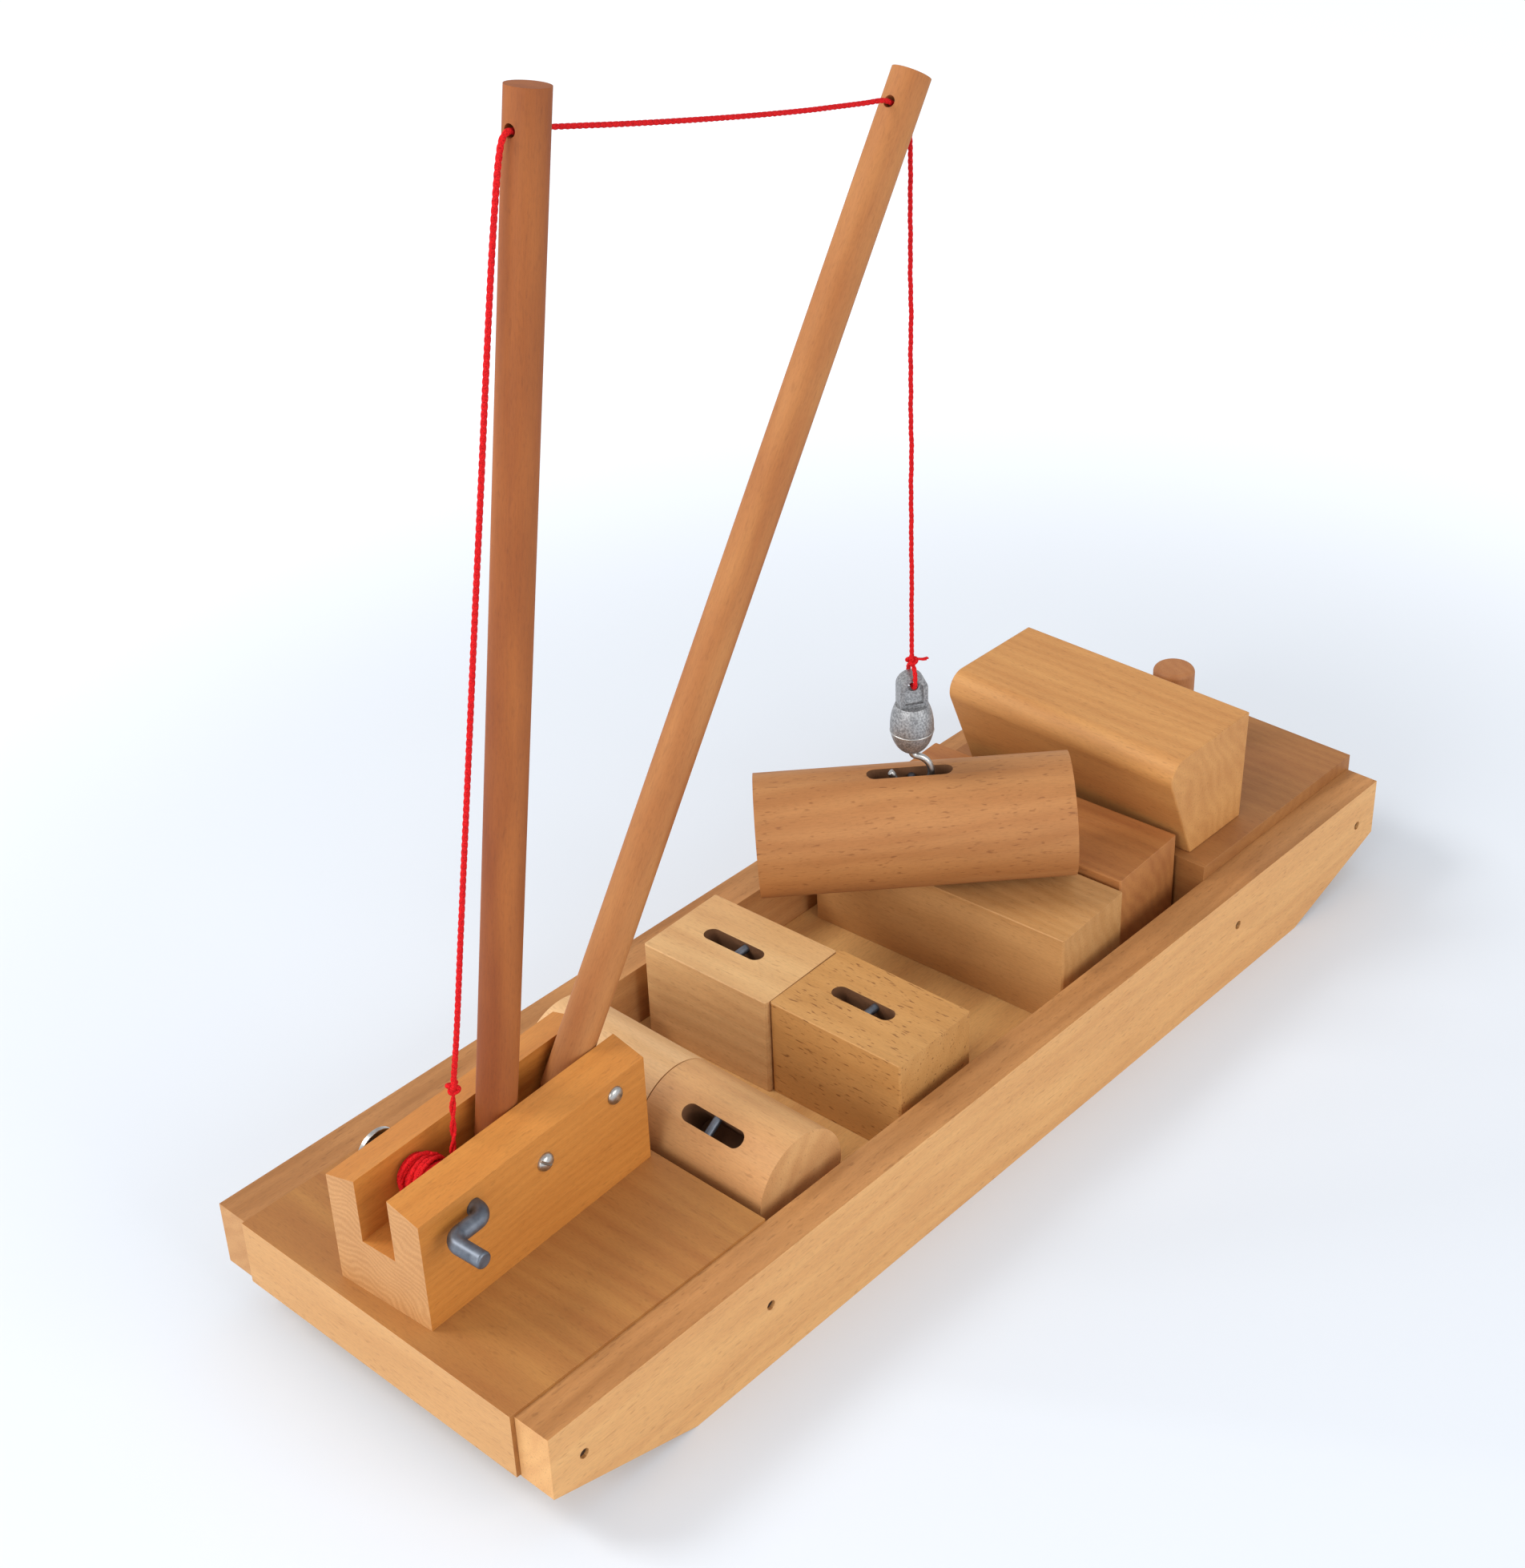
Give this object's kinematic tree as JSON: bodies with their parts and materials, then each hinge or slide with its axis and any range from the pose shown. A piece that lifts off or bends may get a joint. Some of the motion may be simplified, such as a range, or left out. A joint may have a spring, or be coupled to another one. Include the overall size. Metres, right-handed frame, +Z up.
{
  "type": "toy crane boat",
  "caption": "Bare wooden toy cargo boat with a cranked cord crane, a log on its hook, and logs, crates and boxes loose in the hold.",
  "frame": {"origin": "middle of the flat bottom, on the surface the boat stands on", "axes": "+Z up, -Y to the bow, +Y to the stern, +X to port (the side with the crank)"},
  "size_m": [0.142, 0.423, 0.3625],
  "materials": {
    "deck_wood": "matt, bare, fine straight grain",
    "rail_wood": "matt, bare, fine straight grain",
    "dowel_wood": "matt, bare, turned",
    "cargo_wood": "matt, bare, sawn and sanded",
    "cord_red": "matt, twisted cotton",
    "steel_rod": "dull grey steel",
    "bright_steel": "bright zinc-plated steel",
    "zinc_grey": "matt cast zinc"
  },
  "bodies": {
    "hull": {"bottom_board": "deck_wood", "bow_block": "deck_wood", "stern_block": "deck_wood", "rail_port": "rail_wood", "rail_starboard": "rail_wood", "rail_nails": "bright_steel", "cabin": "deck_wood", "funnel": "dowel_wood", "crane_block": "deck_wood", "mast": "dowel_wood", "mast_screw": "bright_steel", "boom_screw": "bright_steel", "cord_riser": "cord_red", "riser_knot": "cord_red"},
    "crank": {"crank": "steel_rod", "axle_cap": "bright_steel", "cord_core": "cord_red", "cord_winding": "cord_red"},
    "boom": {"boom": "dowel_wood", "cord_span": "cord_red"},
    "hanger": {"cord_drop": "cord_red"},
    "line_end": {"cord_lead": "cord_red"},
    "hook": {"cord_knot": "cord_red", "cord_loop": "cord_red", "hook_weight": "zinc_grey", "hook_wire": "bright_steel"},
    "long_log": {"long_log": "cargo_wood", "long_log_pin": "bright_steel"},
    "short_log_port": {"short_log_port": "cargo_wood", "short_pin_port": "bright_steel"},
    "short_log_starboard": {"short_log_starboard": "cargo_wood", "short_pin_starboard": "bright_steel"},
    "crate_port": {"crate_port": "cargo_wood", "crate_pin_port": "bright_steel"},
    "crate_starboard": {"crate_starboard": "cargo_wood", "crate_pin_starboard": "bright_steel"},
    "front_box": {"front_box": "cargo_wood", "front_box_pin": "bright_steel"},
    "rear_box": {"rear_box": "cargo_wood", "rear_box_pin": "bright_steel"}
  },
  "joints": [
    {"name": "crank_turn", "type": "hinge", "parent": "hull", "child": "crank", "pos_m": [-0.00115, -0.18493, 0.0712], "axis": [-0.9984, -0.057, 0], "range_deg": [0, 917]},
    {"name": "boom_luff", "type": "hinge", "parent": "hull", "child": "boom", "pos_m": [-0.00443, -0.12763, 0.0724], "axis": [0.9984, 0.057, 0], "range_deg": [0, 17], "deforming": ["cord_span"]},
    {"name": "hanger_plumb", "type": "hinge", "parent": "boom", "child": "hanger", "pos_m": [-0.00964, 0.03669, 0.3175], "axis": [0.9984, 0.057, 0], "range_deg": [-18, 1]},
    {"name": "hook_lift", "type": "slide", "parent": "hanger", "child": "line_end", "axis": [0, 0, 1], "range_m": [0, 0.12], "deforming": ["cord_drop"]},
    {"name": "hook_swivel", "type": "hinge", "parent": "line_end", "child": "hook", "pos_m": [-0.00964, 0.03669, 0.13797], "axis": [0, 0, 1], "range_deg": [-24, 4]},
    {"name": "log_rock", "type": "hinge", "parent": "hook", "child": "long_log", "pos_m": [-0.00964, 0.03669, 0.09132], "axis": [0.6909, -0.723, 0], "range_deg": [-0.2, 2.5]},
    {"name": "short_log_port_lift", "type": "slide", "parent": "hull", "child": "short_log_port", "axis": [0, 0, 1], "range_m": [0, 0.045]},
    {"name": "short_log_starboard_lift", "type": "slide", "parent": "hull", "child": "short_log_starboard", "axis": [0, 0, 1], "range_m": [0, 0.045]},
    {"name": "crate_port_lift", "type": "slide", "parent": "hull", "child": "crate_port", "axis": [0, 0, 1], "range_m": [0, 0.045]},
    {"name": "crate_starboard_lift", "type": "slide", "parent": "hull", "child": "crate_starboard", "axis": [0, 0, 1], "range_m": [0, 0.011]},
    {"name": "rear_box_slide", "type": "slide", "parent": "hull", "child": "rear_box", "axis": [0, -1, 0], "range_m": [0, 0.004]},
    {"name": "front_box_slide", "type": "slide", "parent": "hull", "child": "front_box", "axis": [0, -1, 0], "range_m": [0, 0.004]}
  ],
  "couplings": [
    {"joint": "hanger_plumb", "follows": "boom_luff", "ratio": -1},
    {"joint": "crank_turn", "follows": "hook_lift", "rad_per_m": 133.33},
    {"joint": "front_box_slide", "follows": "rear_box_slide", "ratio": 1}
  ]
}
